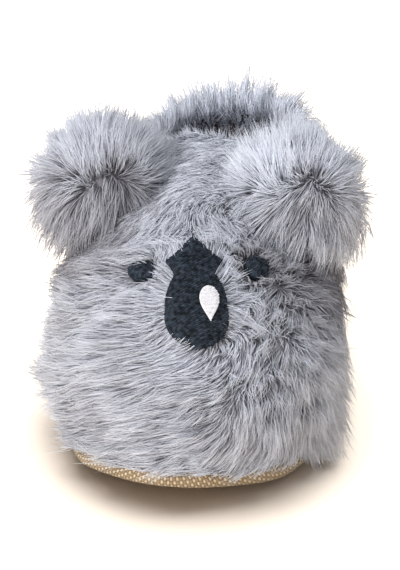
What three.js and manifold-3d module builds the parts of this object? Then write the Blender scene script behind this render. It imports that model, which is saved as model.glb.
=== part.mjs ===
// A baby's koala slipper for the right foot. A soft woven sole carries a fur upper with two fur
// ears, and the animal's face is a padded nose and two eyes sewn to the front.
// Millimetres. +Z is up, +Y runs from the toe to the heel, and +X is the inner, big toe side.
// The origin is on the floor under the middle of the sole.
import * as THREE from "three";
import { mergeVertices } from "three/addons/utils/BufferGeometryUtils.js";
import Module from "manifold-3d";

const wasm = await Module();
wasm.setup();

// Sole
const soleLength = 132;
const ballWidth = 63;
const soleThickness = 5;
const soleEdgeRadius = 2.4;
const toeSpring = 6;
const springLength = 34;
const seamGap = 0.3;

// Half widths of the sole as shares of half the ball width. along is the share of the length
// from the toe.
const soleSections = [
  { along: 0.025, inner: 0.36, outer: 0.35 },
  { along: 0.09, inner: 0.74, outer: 0.71 },
  { along: 0.17, inner: 0.92, outer: 0.88 },
  { along: 0.27, inner: 1.01, outer: 0.99 },
  { along: 0.4, inner: 0.9, outer: 0.94 },
  { along: 0.55, inner: 0.77, outer: 0.86 },
  { along: 0.72, inner: 0.69, outer: 0.75 },
  { along: 0.87, inner: 0.63, outer: 0.66 },
  { along: 0.96, inner: 0.48, outer: 0.5 },
];

// Upper: a wall of backing cloth, dense underfur and lining, with the long fur in locks on it
const wall = 4;
const footInset = 0.8;
const throatHeight = 65;
const sideHeight = 54;
const heelHeight = 56;
const collarLength = 52;
const collarWidth = 43;
const collarSetback = 10;
const sideBulge = 3.8;
const toeBulge = 1;
const heelBulge = 2;
const toeFullness = 2.05;
const sideFullness = 2.4;
const heelFullness = 2.4;

// Locks of long fur
const lockHeight = 6;
const lockSweep = 4.5;
const lockColumns = 54;
const lockRows = 18;
const collarFur = 5;
const toeSweep = 1.6;
const hemFur = 3;
const noseClearing = 4;
const eyeClearing = 2.5;
const earClearing = 4;

// Insole
const insoleThickness = 3;
const insoleGap = 0.5;

// Ears: flattened balls of fur, sewn on beside the throat
const earRadius = 13.2;
const earDepth = 9;
const earLock = 5.3;
const earSpacing = 51;
const earSetback = -10;
const earHeight = 58;
const earColumns = 16;
const earRows = 8;
const earGap = 0.35;

// Face: the nose's middle lies at this share of the way from the sole to the throat. The face is
// sewn on a little to the inner side of the toe's centre line, and a little turned.
const noseShare = 0.405;
const faceShift = 4;
const faceTilt = 5;
const noseWidth = 14.8;
const noseHeight = 25.4;
const noseThickness = 3.2;
const noseRim = 1.7;
const highlightLength = 8.1;
const highlightWidth = 4.1;
const highlightThickness = 0.7;
const eyeWidth = 7;
const eyeHeight = 6.6;
const eyeThickness = 2.4;
const eyeSpacing = 26.5;
const eyeRise = 10.6;
const trimMargin = 0.6;

const fullTurn = Math.PI * 2;
const up = new THREE.Vector3(0, 0, 1);

// Smooth curve through (knots[i], values[i]), level beyond its ends.
function smoothCurve(knots, values) {
  const last = knots.length - 1;
  const slopes = values.map((value, i) =>
    i === 0 || i === last ? 0 : (values[i + 1] - values[i - 1]) / (knots[i + 1] - knots[i - 1]),
  );
  return (at) => {
    if (at <= knots[0]) return values[0];
    if (at >= knots[last]) return values[last];
    const i = knots.findIndex((knot) => knot > at) - 1;
    const span = knots[i + 1] - knots[i];
    const t = (at - knots[i]) / span;
    const rise = t * t * (3 - 2 * t);
    return (
      values[i] * (1 - rise) +
      values[i + 1] * rise +
      span * t * (1 - t) * (slopes[i] * (1 - t) - slopes[i + 1] * t)
    );
  };
}

// The outline is an ellipse whose width is scaled by the table of sections.
function roundnessOf(side) {
  const turns = soleSections.map((row) => Math.acos(1 - 2 * row.along));
  const scales = soleSections.map((row, i) => row[side] / Math.sin(turns[i]));
  return smoothCurve(turns, scales);
}
const innerRoundness = roundnessOf("inner");
const outerRoundness = roundnessOf("outer");

// A point of the sole's outline. turn is 0 at the toe, a quarter on the inner side, a half at the heel.
function outlineAt(turn) {
  const angle = turn * fullTurn;
  const scale = Math.sin(angle) >= 0 ? innerRoundness(angle) : outerRoundness(fullTurn - angle);
  return new THREE.Vector3(
    (Math.sin(angle) * scale * ballWidth) / 2,
    (-Math.cos(angle) * soleLength) / 2,
    0,
  );
}

function wrapped(turn) {
  return turn - Math.floor(turn);
}

function outlineNormal(turn) {
  const step = 0.004;
  const along = outlineAt(wrapped(turn + step)).sub(outlineAt(wrapped(turn - step)));
  return along.cross(up).normalize();
}

function insetOutline(turn, inset) {
  return outlineAt(wrapped(turn)).addScaledVector(outlineNormal(turn), -inset);
}

// How far the toe's underside has lifted off the floor at this y.
function springAt(y) {
  const beyond = Math.max(0, -soleLength / 2 + springLength - y) / springLength;
  return toeSpring * beyond * beyond;
}

function geometryOf(vertices, triangles) {
  const geometry = new THREE.BufferGeometry();
  geometry.setAttribute(
    "position",
    new THREE.Float32BufferAttribute(
      vertices.flatMap((v) => [v.x, v.y, v.z]),
      3,
    ),
  );
  geometry.setIndex(triangles);
  geometry.computeVertexNormals();
  return geometry;
}

function solidOf(geometry) {
  const bare = geometry.clone();
  bare.deleteAttribute("normal");
  bare.deleteAttribute("uv");
  const merged = mergeVertices(bare, 1e-4);
  return new wasm.Manifold(
    new wasm.Mesh({
      numProp: 3,
      vertProperties: merged.attributes.position.array,
      triVerts: new Uint32Array(merged.index.array),
    }),
  );
}

function geometryFrom(solid) {
  const mesh = solid.getMesh();
  const geometry = new THREE.BufferGeometry();
  geometry.setAttribute("position", new THREE.BufferAttribute(mesh.vertProperties, 3));
  geometry.setIndex(new THREE.BufferAttribute(mesh.triVerts, 1));
  geometry.computeVertexNormals();
  return geometry;
}

// Cutting round the ears leaves loose tips of locks, which are dropped.
function largestPiece(solid) {
  const pieces = solid.decompose();
  pieces.sort((a, b) => b.volume() - a.volume());
  return pieces[0];
}

// A closed solid from rings of points stacked from the bottom up, each ring running anticlockwise
// from the toe. Each end is closed by strips across the shoe.
function stackRings(rings) {
  const count = rings[0].length;
  const triangles = [];
  const quad = (a, b, c, d) => triangles.push(a, b, c, a, c, d);
  for (let k = 0; k + 1 < rings.length; k++) {
    for (let i = 0; i < count; i++) {
      const next = (i + 1) % count;
      const low = k * count;
      const high = low + count;
      quad(low + i, low + next, high + next, high + i);
    }
  }
  const top = (rings.length - 1) * count;
  for (let i = 0; i < count / 2; i++) {
    const mirrored = (count - i) % count;
    const corners = [i, i + 1, count - i - 1, mirrored].filter((c, k, all) => all.indexOf(c) === k);
    for (let k = 1; k + 1 < corners.length; k++) {
      triangles.push(top + corners[0], top + corners[k], top + corners[k + 1]);
      triangles.push(corners[0], corners[k + 1], corners[k]);
    }
  }
  return geometryOf(rings.flat(), triangles);
}

// A flat layer of the sole with rounded edges, which follows the toe spring.
function soleLayer(inset, bottom, thickness, edgeRadius, edgeSteps) {
  const ringPoints = 60;
  const rings = [];
  for (let k = 0; k <= edgeSteps; k++) {
    const angle = (k / edgeSteps - 0.5) * Math.PI;
    const ring = [];
    for (let i = 0; i < ringPoints; i++) {
      const point = insetOutline(i / ringPoints, inset + edgeRadius * (1 - Math.cos(angle)));
      point.z = bottom + springAt(point.y) + (thickness / 2) * (1 + Math.sin(angle));
      ring.push(point);
    }
    rings.push(ring);
  }
  return stackRings(rings);
}

// Shares of the toe and of the heel at this turn, smooth and 0 on the sides.
function toeShare(turn) {
  return Math.max(0, Math.cos(turn * fullTurn)) ** 2;
}

function heelShare(turn) {
  return Math.max(0, -Math.cos(turn * fullTurn)) ** 2;
}

function blendRound(turn, toe, side, heel) {
  return side + (toe - side) * toeShare(turn) + (heel - side) * heelShare(turn);
}

const collarMiddle = soleLength / 2 - collarSetback - collarLength / 2;

// The edge of the opening that the foot goes in by.
function collarAt(turn) {
  const angle = turn * fullTurn;
  return new THREE.Vector3(
    (Math.sin(angle) * collarWidth) / 2,
    collarMiddle - (Math.cos(angle) * collarLength) / 2,
    blendRound(turn, throatHeight, sideHeight, heelHeight),
  );
}

// One rib of the upper, from the sole's edge to the collar: a rounded quarter arch that bulges
// outwards. depth is how far inside the outer face it lies.
function ribPoint(turn, rise, depth) {
  const foot = insetOutline(turn, footInset + depth);
  foot.z = soleThickness + springAt(foot.y) + seamGap;
  const rim = collarAt(turn);
  rim.z -= depth;
  const power = 2 / blendRound(turn, toeFullness, sideFullness, heelFullness);
  const angle = (rise * Math.PI) / 2;
  const across = 1 - Math.max(0, Math.cos(angle)) ** power;
  const upwards = Math.sin(angle) ** power;
  const bulge = blendRound(turn, toeBulge, sideBulge, heelBulge) * Math.sin(Math.PI * rise ** 0.75);
  const outwards = outlineNormal(turn);
  return new THREE.Vector3(
    foot.x + (rim.x - foot.x) * across + outwards.x * bulge,
    foot.y + (rim.y - foot.y) * across + outwards.y * bulge,
    foot.z + (rim.z - foot.z) * upwards,
  );
}

// share runs evenly along the rib's length, so that the fur's rows are evenly spaced.
const ribSteps = 32;
const ribLengths = new Map();
function riseAt(turn, share, depth) {
  const key = `${turn.toFixed(6)} ${depth}`;
  if (!ribLengths.has(key)) {
    const lengths = [0];
    let before = ribPoint(turn, 0, depth);
    for (let k = 1; k <= ribSteps; k++) {
      const point = ribPoint(turn, k / ribSteps, depth);
      lengths.push(lengths[k - 1] + point.distanceTo(before));
      before = point;
    }
    ribLengths.set(key, lengths);
  }
  const lengths = ribLengths.get(key);
  const wanted = THREE.MathUtils.clamp(share, 0, 1) * lengths[ribSteps];
  const k = Math.max(1, lengths.findIndex((length) => length >= wanted));
  return (k - 1 + (wanted - lengths[k - 1]) / (lengths[k] - lengths[k - 1])) / ribSteps;
}

function upperPoint(turn, share, depth = 0) {
  const whole = wrapped(turn);
  return ribPoint(whole, riseAt(whole, share, depth), depth);
}

// A point of the upper's outer face, with its outward normal and the ways round and down it.
function upperFrame(turn, share) {
  const step = 0.004;
  const low = Math.max(0, share - step);
  const high = Math.min(1, share + step);
  const point = upperPoint(turn, share);
  const round = upperPoint(turn + step, share).sub(upperPoint(turn - step, share)).normalize();
  const down = upperPoint(turn, low).sub(upperPoint(turn, high)).normalize();
  const normal = down.clone().cross(round).normalize();
  return { point, normal, down, round };
}

// Even but irregular number from -1 to 1 for the lock at this row and column.
function unevenness(row, column) {
  const wave = Math.sin(row * 12.9898 + column * 78.233) * 43758.5453;
  return 2 * (wave - Math.floor(wave)) - 1;
}

// A sheet of staggered diamonds, each raised to the tip of one lock of fur. tipAt gives the tip
// for the middle of a diamond. The first and last rows of points are left as open rings.
function lockSheet(columns, rows, pointAt, tipAt) {
  const vertices = [];
  const triangles = [];
  const indexOf = (row, column) => row * columns + ((column + columns) % columns);
  for (let row = 0; row <= rows; row++) {
    for (let column = 0; column < columns; column++) {
      vertices.push(pointAt((column + (row % 2) / 2) / columns, row / rows));
    }
  }
  const raise = (corners, turn, share, row, column) => {
    const tip = vertices.length;
    vertices.push(tipAt(wrapped(turn), share, row, column));
    corners.forEach((corner, k) => {
      triangles.push(corner, corners[(k + 1) % corners.length], tip);
    });
  };
  for (let row = 0; row < rows; row++) {
    for (let column = 0; column < columns; column++) {
      const shift = row % 2;
      const left = indexOf(row, column);
      const right = indexOf(row, column + 1);
      const above = indexOf(row + 1, column + shift);
      const turn = (column + 0.5 + shift / 2) / columns;
      if (row === 0) {
        raise([left, right, above], turn, 0.3 / rows, row, column);
      } else {
        const below = indexOf(row - 1, column + shift);
        raise([below, right, above, left], turn, row / rows, row, column);
      }
      if (row === rows - 1) {
        const end = indexOf(rows, column + shift);
        const endBefore = indexOf(rows, column + shift - 1);
        triangles.push(left, end, endBefore);
      }
    }
  }
  return { vertices, triangles };
}

// How the long fur leans: down and back over most of the upper, and up along the collar's edge.
function upperTip(turn, share, row, column) {
  const { point, normal, down, round } = upperFrame(turn, share);
  const nearCollar = THREE.MathUtils.smoothstep(share, 0.8, 0.97);
  const nearSeam = 1 - THREE.MathUtils.smoothstep(share, 0, 0.22);
  const nearToeSeam = toeShare(turn) ** 2 * nearSeam;
  const hem = hemFur * (1 - toeShare(turn) ** 2) * nearSeam;
  const full = (lockHeight + hem) * (1 - 0.45 * nearToeSeam);
  const height = full * (1 + 0.22 * unevenness(row, column));
  const sweep = THREE.MathUtils.lerp(lockSweep, toeSweep, nearToeSeam) * (1 - 1.2 * nearCollar);
  const sideways = 0.45 * lockSweep * Math.sin(turn * fullTurn) * (1 - nearCollar);
  const lifted = THREE.MathUtils.lerp(height, Math.min(height, collarFur), nearCollar);
  const left = furLeftAt(point);
  return point
    .addScaledVector(normal, lifted * left)
    .addScaledVector(down, sweep * left)
    .addScaledVector(round, (sideways + 0.9 * unevenness(column, row)) * left);
}

// The fur is full away from what is sewn on, and runs out to nothing under it.
function furLeftAt(point) {
  const shares = sewnOn.map(({ clearing, distanceTo }) => distanceTo(point) / clearing);
  return THREE.MathUtils.clamp(Math.min(...shares), 0, 1);
}

function makeUpper() {
  const innerRows = 8;
  const sheet = lockSheet(lockColumns, lockRows, upperPoint, upperTip);
  const { vertices, triangles } = sheet;
  const inner = vertices.length;
  for (let row = 0; row <= innerRows; row++) {
    for (let column = 0; column < lockColumns; column++) {
      vertices.push(upperPoint(column / lockColumns, row / innerRows, wall));
    }
  }
  const quad = (a, b, c, d) => triangles.push(a, b, c, a, c, d);
  const outerTop = lockRows * lockColumns;
  const innerTop = inner + innerRows * lockColumns;
  for (let column = 0; column < lockColumns; column++) {
    const next = (column + 1) % lockColumns;
    for (let row = 0; row < innerRows; row++) {
      const low = inner + row * lockColumns;
      const high = low + lockColumns;
      quad(low + column, high + column, high + next, low + next);
    }
    quad(column, inner + column, inner + next, next);
    quad(outerTop + column, outerTop + next, innerTop + next, innerTop + column);
  }
  return geometryOf(vertices, triangles);
}

// The space that the upper's outer face encloses, grown by lift, as a cutter for what is sewn on.
function innerMould(lift) {
  const rows = 16;
  const rings = [];
  for (let row = 0; row <= rows; row++) {
    const ring = [];
    for (let column = 0; column < lockColumns; column++) {
      const { point, normal } = upperFrame(column / lockColumns, row / rows);
      ring.push(point.addScaledVector(normal, lift));
    }
    rings.push(ring);
  }
  return solidOf(stackRings(rings));
}

// The face's own frame: across is towards the inner side, rise is up towards the throat.
const faceFrame = upperFrame(faceShift / ballWidth / Math.PI, noseShare);
const faceAngle = THREE.MathUtils.degToRad(faceTilt);
const faceAcross = faceFrame.round.clone().applyAxisAngle(faceFrame.normal, faceAngle);
const faceRise = faceFrame.normal.clone().cross(faceAcross).normalize();

// The place on the upper that lies at (a, b) mm in the face's frame, found by a few Newton steps.
function facePlace(a, b) {
  const ribLength = 75;
  const girth = 300;
  const step = 0.002;
  let turn = (a + faceShift) / girth;
  let share = noseShare + b / ribLength;
  const flat = (t, s) => {
    const from = upperPoint(t, s).sub(faceFrame.point);
    return [from.dot(faceAcross), from.dot(faceRise)];
  };
  for (let k = 0; k < 8; k++) {
    const here = flat(turn, share);
    const overTurn = flat(turn + step, share).map((value, i) => (value - here[i]) / step);
    const overShare = flat(turn, share + step).map((value, i) => (value - here[i]) / step);
    const miss = [a - here[0], b - here[1]];
    const scale = overTurn[0] * overShare[1] - overTurn[1] * overShare[0];
    turn += (miss[0] * overShare[1] - miss[1] * overShare[0]) / scale;
    share += (overTurn[0] * miss[1] - overTurn[1] * miss[0]) / scale;
  }
  return upperFrame(turn, share);
}

// A pad that follows the upper: the outline, in the face's frame, shrinks ring by ring towards
// the middle. Each ring holds the share of the outline and the lift off the upper.
function facePad(outline, middle, rings) {
  const vertices = [];
  const triangles = [];
  const count = outline.length;
  const put = (a, b, lift) => {
    const { point, normal } = facePlace(a, b);
    vertices.push(point.addScaledVector(normal, lift));
  };
  put(middle.a, middle.b, rings[0].lift);
  rings.forEach(({ share, lift }) => {
    outline.forEach(({ a, b }) => {
      put(middle.a + (a - middle.a) * share, middle.b + (b - middle.b) * share, lift);
    });
  });
  put(middle.a, middle.b, rings[rings.length - 1].lift);
  const last = vertices.length - 1;
  for (let i = 0; i < count; i++) {
    const next = (i + 1) % count;
    triangles.push(0, 1 + next, 1 + i);
    for (let k = 0; k + 1 < rings.length; k++) {
      const low = 1 + k * count;
      const high = low + count;
      triangles.push(low + i, low + next, high + next);
      triangles.push(low + i, high + next, high + i);
    }
    const top = last - count;
    triangles.push(last, top + i, top + next);
  }
  return geometryOf(vertices, triangles);
}

// A domed pad whose rim stands rim above the upper and whose middle stands thickness above it.
function domedRings(base, rim, thickness) {
  return [
    { share: 0.5, lift: base },
    { share: 1, lift: base },
    { share: 1, lift: base + rim },
    { share: 0.82, lift: base + rim + 0.7 * (thickness - rim) },
    { share: 0.45, lift: base + thickness },
  ];
}

// How far a point of the upper lies outside an outline of the face, negative when inside.
function distanceToOutline(outline, point) {
  if (point.y > collarMiddle) return Infinity;
  const from = point.clone().sub(faceFrame.point);
  const spot = new THREE.Vector2(from.dot(faceAcross), from.dot(faceRise));
  let inside = false;
  let nearest = Infinity;
  outline.forEach((end, i) => {
    const start = outline[(i + outline.length - 1) % outline.length];
    const edge = new THREE.Vector2(end.a - start.a, end.b - start.b);
    const reach = spot.clone().sub(new THREE.Vector2(start.a, start.b));
    const along = THREE.MathUtils.clamp(reach.dot(edge) / edge.lengthSq(), 0, 1);
    nearest = Math.min(nearest, reach.distanceTo(edge.clone().multiplyScalar(along)));
    const crosses = start.b > spot.y !== end.b > spot.y;
    if (crosses && reach.x < (edge.x * reach.y) / edge.y) inside = !inside;
  });
  return inside ? -nearest : nearest;
}

// Clears the fur over an outline, down to the dense underfur.
function trimmer(outline, middle) {
  const grown = outline.map(({ a, b }) => {
    const reach = Math.hypot(a - middle.a, b - middle.b);
    const scale = 1 + trimMargin / reach;
    return { a: middle.a + (a - middle.a) * scale, b: middle.b + (b - middle.b) * scale };
  });
  const height = lockHeight * 2;
  return solidOf(
    facePad(grown, middle, [
      { share: 0.5, lift: 0.12 },
      { share: 1, lift: 0.12 },
      { share: 1, lift: height },
      { share: 0.5, lift: height },
    ]),
  );
}

// Right half of the nose from its tip down, as shares of half its width and of its height above
// and below its middle. The two small points beside the tip are the edges of the bridge.
const noseHalf = [
  { across: 0, rise: 0.585 },
  { across: 0.25, rise: 0.485 },
  { across: 0.8, rise: 0.417 },
  { across: 0.63, rise: 0.29 },
  { across: 0.87, rise: 0.15 },
  { across: 1, rise: 0 },
  { across: 1, rise: -0.15 },
  { across: 0.86, rise: -0.285 },
  { across: 0.47, rise: -0.38 },
  { across: 0, rise: -0.415 },
];

function noseOutline() {
  const right = noseHalf.map(({ across, rise }) => ({
    a: (across * noseWidth) / 2,
    b: rise * noseHeight,
  }));
  const left = right.slice(1, -1).map(({ a, b }) => ({ a: -a, b }));
  return [...left, right[9], ...right.slice(1, -1).reverse(), right[0]];
}

function ovalOutline(middle, width, height, count) {
  return Array.from({ length: count }, (_, i) => {
    const angle = (i / count) * fullTurn;
    return {
      a: middle.a + (Math.cos(angle) * width) / 2,
      b: middle.b + (Math.sin(angle) * height) / 2,
    };
  });
}

// A drop with a round top and a pointed foot.
function dropOutline(middle, width, length, count) {
  return Array.from({ length: count }, (_, i) => {
    const angle = (i / count) * fullTurn;
    const narrowing = Math.sin(angle) < 0 ? 1 - 0.9 * Math.sin(angle) ** 2 : 1;
    return {
      a: middle.a + ((Math.cos(angle) * width) / 2) * narrowing,
      b: middle.b + (Math.sin(angle) < 0 ? 0.64 : 0.36) * Math.sin(angle) * length,
    };
  });
}

// One ear: a flattened ball of locks that radiate from its front, cut to sit on the upper.
function earFrame(side) {
  const centre = new THREE.Vector3((side * earSpacing) / 2, earSetback, earHeight);
  const facing = new THREE.Vector3(0.3 * side, -0.9, 0.35).normalize();
  const across = facing.clone().cross(up).normalize();
  const rise = across.clone().cross(facing).normalize();
  return { centre, facing, across, rise };
}

function earPoint(frame, turn, share, radius, depth) {
  const angle = turn * fullTurn;
  const polar = share * Math.PI;
  return frame.centre
    .clone()
    .addScaledVector(frame.facing, Math.cos(polar) * depth)
    .addScaledVector(frame.across, Math.sin(polar) * Math.cos(angle) * radius)
    .addScaledVector(frame.rise, Math.sin(polar) * Math.sin(angle) * radius);
}

function makeEarBall(frame) {
  const low = 0.06;
  const shareOf = (share) => low + (1 - 2 * low) * share;
  const pointAt = (turn, share) => earPoint(frame, turn, shareOf(share), earRadius, earDepth);
  const tipAt = (turn, share, row, column) => {
    const lean = 0.35 * Math.sin(shareOf(share) * Math.PI);
    const outwards = Math.min(1, shareOf(share) + lean / earRows + 0.04);
    const grow = earLock * (1 + 0.2 * unevenness(row, column));
    return earPoint(frame, turn, outwards, earRadius + grow, earDepth + grow);
  };
  const { vertices, triangles } = lockSheet(earColumns, earRows, pointAt, tipAt);
  const front = vertices.push(earPoint(frame, 0, 0, 0, earDepth + 1)) - 1;
  const back = vertices.push(earPoint(frame, 0, 1, 0, earDepth + 1)) - 1;
  const lastRow = earRows * earColumns;
  for (let column = 0; column < earColumns; column++) {
    const next = (column + 1) % earColumns;
    triangles.push(front, next, column);
    triangles.push(back, lastRow + column, lastRow + next);
  }
  return solidOf(geometryOf(vertices, triangles));
}

// How far a point lies outside the reach of an ear's fur.
function distanceToEar(frame, point) {
  const from = point.clone().sub(frame.centre);
  const wide = earRadius + earLock;
  const deep = earDepth + earLock;
  const flat = Math.hypot(from.dot(frame.across), from.dot(frame.rise)) / wide;
  return (Math.hypot(flat, from.dot(frame.facing) / deep) - 1) * wide;
}

function earEnvelope(frame) {
  const grown = earLock * 1.2 + earGap;
  const ball = new THREE.SphereGeometry(1, 24, 16);
  const placed = new THREE.Matrix4().makeBasis(
    frame.across.clone().multiplyScalar(earRadius + grown),
    frame.rise.clone().multiplyScalar(earRadius + grown),
    frame.facing.clone().negate().multiplyScalar(earDepth + grown),
  );
  placed.setPosition(frame.centre);
  ball.applyMatrix4(placed);
  return solidOf(ball);
}

function meshOf(name, geometry, colour, roughness) {
  const material = new THREE.MeshStandardMaterial({ color: colour, roughness, metalness: 0 });
  const mesh = new THREE.Mesh(geometry, material);
  mesh.name = name;
  return mesh;
}

const colours = {
  fur: 0xa9a9b1,
  weave: 0xd8c09a,
  lining: 0x9b9196,
  black: 0x1d2228,
  white: 0xf4f4f8,
};

const nose = { middle: { a: 0, b: 0 }, edge: noseOutline() };
const highlightMiddle = { a: noseWidth * 0.22, b: 0.5 };
const highlightEdge = dropOutline(highlightMiddle, highlightWidth, highlightLength, 16);
const eyes = [1, -1].map((side) => {
  const middle = { a: (side * eyeSpacing) / 2, b: eyeRise };
  const edge = ovalOutline(middle, eyeWidth, eyeHeight, 16);
  return { name: side > 0 ? "eye_inner_side" : "eye_outer_side", middle, edge };
});
const ears = [
  { name: "ear_inner_side", frame: earFrame(1) },
  { name: "ear_outer_side", frame: earFrame(-1) },
];
const sewnOn = [
  { clearing: noseClearing, distanceTo: (point) => distanceToOutline(nose.edge, point) },
  ...eyes.map(({ edge }) => ({
    clearing: eyeClearing,
    distanceTo: (point) => distanceToOutline(edge, point),
  })),
  ...ears.map(({ frame }) => ({
    clearing: earClearing,
    distanceTo: (point) => distanceToEar(frame, point),
  })),
];

const slipper = new THREE.Group();
slipper.name = "koala_slipper";

const outsole = soleLayer(0, 0, soleThickness, soleEdgeRadius, 5);
slipper.add(meshOf("outsole", outsole, colours.weave, 0.9));

const insoleInset = footInset + wall + insoleGap;
const insole = soleLayer(insoleInset, soleThickness + seamGap, insoleThickness, 1, 3);
slipper.add(meshOf("insole", insole, colours.lining, 0.95));

const nosePad = facePad(nose.edge, nose.middle, domedRings(seamGap, noseRim, noseThickness));
slipper.add(meshOf("nose", nosePad, colours.black, 0.8));

const highlightBase = seamGap + noseThickness + seamGap;
const highlightPad = facePad(highlightEdge, highlightMiddle, [
  { share: 0.5, lift: highlightBase },
  { share: 1, lift: highlightBase },
  { share: 1, lift: highlightBase + highlightThickness * 0.6 },
  { share: 0.5, lift: highlightBase + highlightThickness },
]);
slipper.add(meshOf("nose_highlight", highlightPad, colours.white, 0.6));

let upper = solidOf(makeUpper()).subtract(trimmer(nose.edge, nose.middle));

eyes.forEach(({ name, middle, edge }) => {
  const pad = facePad(edge, middle, domedRings(seamGap, eyeThickness * 0.5, eyeThickness));
  slipper.add(meshOf(name, pad, colours.black, 0.7));
  upper = upper.subtract(trimmer(edge, middle));
});

const mouldUnderEars = innerMould(earGap);
const mouldUnderLocks = innerMould(0.12);
ears.forEach(({ name, frame }) => {
  const ear = makeEarBall(frame).subtract(mouldUnderEars);
  slipper.add(meshOf(name, geometryFrom(ear), colours.fur, 1));
  upper = upper.subtract(earEnvelope(frame).subtract(mouldUnderLocks));
});

slipper.add(meshOf("upper", geometryFrom(largestPiece(upper)), colours.fur, 1));

export default slipper;
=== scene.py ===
"""A baby's koala slipper for the right foot: long grey faux fur on a woven cloth sole.

Sizes are in millimetres and become metres as each mesh is made. +Z is up, +Y runs from the toe
to the heel, and +X is the inner, big toe side.
"""

import math

import bpy
import numpy as np
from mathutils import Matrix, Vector


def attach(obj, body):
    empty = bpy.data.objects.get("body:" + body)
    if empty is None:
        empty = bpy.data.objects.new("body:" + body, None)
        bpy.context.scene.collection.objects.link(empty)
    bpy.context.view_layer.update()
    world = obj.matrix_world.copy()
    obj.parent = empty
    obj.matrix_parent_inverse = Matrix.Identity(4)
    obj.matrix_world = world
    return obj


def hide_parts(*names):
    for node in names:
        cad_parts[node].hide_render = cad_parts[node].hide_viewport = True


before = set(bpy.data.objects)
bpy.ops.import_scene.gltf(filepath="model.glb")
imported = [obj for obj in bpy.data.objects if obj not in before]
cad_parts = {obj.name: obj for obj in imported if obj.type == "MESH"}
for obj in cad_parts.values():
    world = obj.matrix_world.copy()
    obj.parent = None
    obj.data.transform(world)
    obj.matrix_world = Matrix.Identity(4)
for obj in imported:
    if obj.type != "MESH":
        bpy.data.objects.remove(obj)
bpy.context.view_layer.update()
MM = 0.001

# Studio: a pale seamless floor under soft boxes. The camera keeps the photograph's angle: from
# a little to the slipper's inner side, looking down, with the photograph's frame of 400 by 570.
CAMERA_SIDE = 9.0
CAMERA_RISE = 26.0
CAMERA_DISTANCE = 600.0
FRAME_WIDTH = 102.0
AIM = (-2.7, 0.0, 27.0)
FLOOR_SIZE = 3000.0
FLOOR_COLOUR = (0.95, 0.85, 0.74, 1.0)
SKY_COLOUR = (0.98, 0.98, 1.0, 1.0)
SKY_STRENGTH = 0.3
LAMP_AIM = Vector((0, 0, 0.03))


def connect(tree, kind, inputs=(), **settings):
    """Adds one node. Each input is a value, or another node's output to link to."""
    made = tree.nodes.new(kind)
    for name, value in settings.items():
        setattr(made, name, value)
    for socket, value in dict(inputs).items():
        if isinstance(value, bpy.types.NodeSocket):
            tree.links.new(value, made.inputs[socket])
        else:
            made.inputs[socket].default_value = value
    return made


def surface_material(name, roughness, sheen=0.0):
    """A material with a bare Principled shader, and its tree and shader to build on."""
    material = bpy.data.materials.new(name)
    material.use_nodes = True
    shader = material.node_tree.nodes["Principled BSDF"]
    shader.inputs["Roughness"].default_value = roughness
    shader.inputs["Sheen Weight"].default_value = sheen
    shader.inputs["Sheen Roughness"].default_value = 0.4
    shader.inputs["Specular IOR Level"].default_value = 0.25
    return material, material.node_tree, shader


def put_in_scene(name, mesh, material):
    """Makes an object of a mesh, at the origin, with its one material."""
    obj = bpy.data.objects.new(name, mesh)
    bpy.context.scene.collection.objects.link(obj)
    mesh.materials.clear()
    mesh.materials.append(material)
    return obj


def mesh_of(name, points, faces):
    """A smooth mesh of points in millimetres."""
    mesh = bpy.data.meshes.new(name)
    mesh.from_pydata((np.asarray(points).reshape(-1, 3) * MM).tolist(), [], faces)
    mesh.polygons.foreach_set("use_smooth", [True] * len(mesh.polygons))
    mesh.update()
    return mesh


floor_material, _, floor_shader = surface_material("studio_floor", 0.9)
floor_shader.inputs["Base Color"].default_value = FLOOR_COLOUR
floor_corners = [
    (-FLOOR_SIZE, -FLOOR_SIZE, 0),
    (FLOOR_SIZE, -FLOOR_SIZE, 0),
    (FLOOR_SIZE, FLOOR_SIZE, 0),
    (-FLOOR_SIZE, FLOOR_SIZE, 0),
]
floor_mesh = mesh_of("studio_floor", floor_corners, [(0, 1, 2, 3)])
floor = put_in_scene("studio_floor", floor_mesh, floor_material)

world = bpy.data.worlds.new("studio")
world.use_nodes = True
sky = world.node_tree.nodes["Background"]
sky.inputs["Color"].default_value = SKY_COLOUR
sky.inputs["Strength"].default_value = SKY_STRENGTH
bpy.context.scene.world = world
bpy.context.scene.view_settings.view_transform = "Standard"

# Two soft boxes light the slipper and are flagged off the floor, which has a soft box of its own.
for name, place, side, watts, floor_state in (
    ("softbox_floor", (-0.06, 0.25, 1.0), 1.3, 30.0, "INCLUDE"),
    ("softbox_top", (-0.15, -0.1, 1.1), 0.8, 6.5, "EXCLUDE"),
    ("softbox_left", (-0.75, -1.1, 0.8), 1.0, 16.5, "EXCLUDE"),
):
    light = bpy.data.lights.new(name, "AREA")
    light.size = side
    light.energy = watts
    lamp = bpy.data.objects.new(name, light)
    lamp.location = place
    lamp.rotation_euler = (LAMP_AIM - lamp.location).to_track_quat("-Z", "Y").to_euler()
    bpy.context.scene.collection.objects.link(lamp)
    flag = bpy.data.collections.new(name + "_flag")
    flag.objects.link(floor)
    flag.collection_objects[0].light_linking.link_state = floor_state
    lamp.light_linking.receiver_collection = flag

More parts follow.
